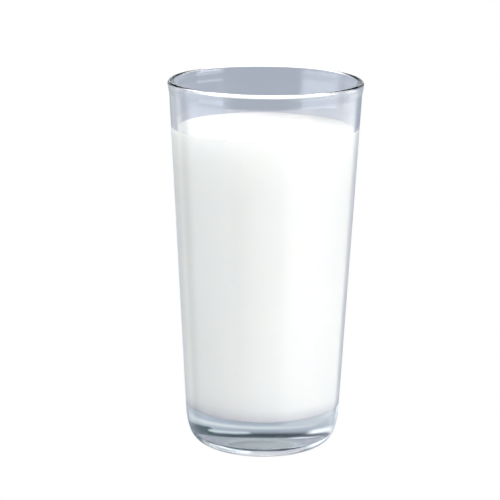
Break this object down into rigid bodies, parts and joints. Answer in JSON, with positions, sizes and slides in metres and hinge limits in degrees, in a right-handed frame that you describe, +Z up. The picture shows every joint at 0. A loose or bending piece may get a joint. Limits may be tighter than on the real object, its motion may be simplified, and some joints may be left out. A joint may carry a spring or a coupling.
{
  "type": "glass of milk",
  "caption": "Tall, gently tapered clear drinking glass with a thick base, filled with milk almost to its rim.",
  "frame": {"origin": "centre of the glass's axis, on the surface that its foot ring stands on", "axes": "+Z up along the glass's axis, from its foot to its rim; +X to the right and +Y away from the camera as the picture sees it"},
  "size_m": [0.0732, 0.0732, 0.14],
  "materials": {
    "clear_glass": "clear and fire-polished, with a faint blue-green tint",
    "milk": "smooth, opaque near-white liquid"
  },
  "bodies": {
    "root": {"glass": "clear_glass", "milk": "milk"}
  },
  "joints": []
}
